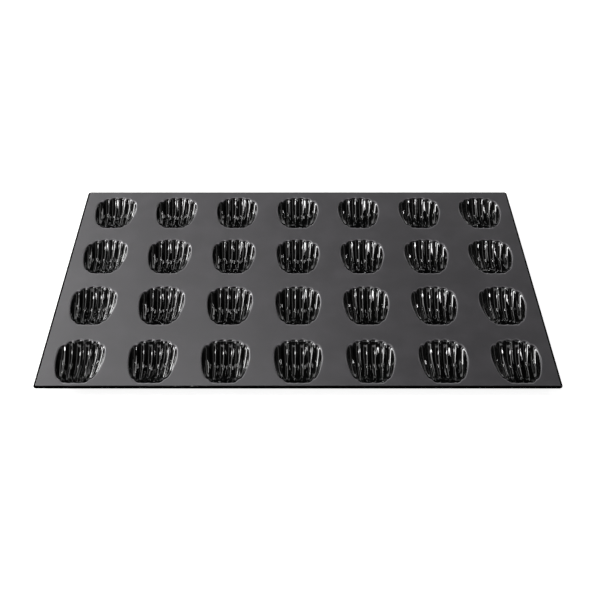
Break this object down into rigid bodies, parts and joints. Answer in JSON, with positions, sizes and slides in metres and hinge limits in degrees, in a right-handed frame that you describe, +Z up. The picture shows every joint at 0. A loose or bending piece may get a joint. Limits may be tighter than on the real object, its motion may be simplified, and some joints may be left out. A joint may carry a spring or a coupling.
{
  "type": "madeleine pan",
  "caption": "Flat rectangular baking sheet pressed with rows of elongated fluted shell hollows for baking madeleines, with curled wired edges.",
  "frame": {"origin": "under the middle of the sheet's outline, at the height of the table that the shells rest on", "axes": "+X along the long side, to the right as seen from the front edge; +Y from the front edge, which the shells' narrow ends face, to the back; +Z up, out of the open shells"},
  "size_m": [0.6, 0.4, 0.0184],
  "materials": {
    "coated_steel": "satin black non-stick coating",
    "wire_steel": "bright drawn wire"
  },
  "bodies": {
    "root": {"deck": "coated_steel", "shell_r1_c1": "coated_steel", "shell_r1_c2": "coated_steel", "shell_r1_c3": "coated_steel", "shell_r1_c4": "coated_steel", "shell_r1_c5": "coated_steel", "shell_r1_c6": "coated_steel", "shell_r1_c7": "coated_steel", "shell_r2_c1": "coated_steel", "shell_r2_c2": "coated_steel", "shell_r2_c3": "coated_steel", "shell_r2_c4": "coated_steel", "shell_r2_c5": "coated_steel", "shell_r2_c6": "coated_steel", "shell_r2_c7": "coated_steel", "shell_r3_c1": "coated_steel", "shell_r3_c2": "coated_steel", "shell_r3_c3": "coated_steel", "shell_r3_c4": "coated_steel", "shell_r3_c5": "coated_steel", "shell_r3_c6": "coated_steel", "shell_r3_c7": "coated_steel", "shell_r4_c1": "coated_steel", "shell_r4_c2": "coated_steel", "shell_r4_c3": "coated_steel", "shell_r4_c4": "coated_steel", "shell_r4_c5": "coated_steel", "shell_r4_c6": "coated_steel", "shell_r4_c7": "coated_steel", "front_edge": "coated_steel", "back_edge": "coated_steel", "left_edge": "coated_steel", "right_edge": "coated_steel", "edge_wire": "wire_steel"}
  },
  "joints": []
}
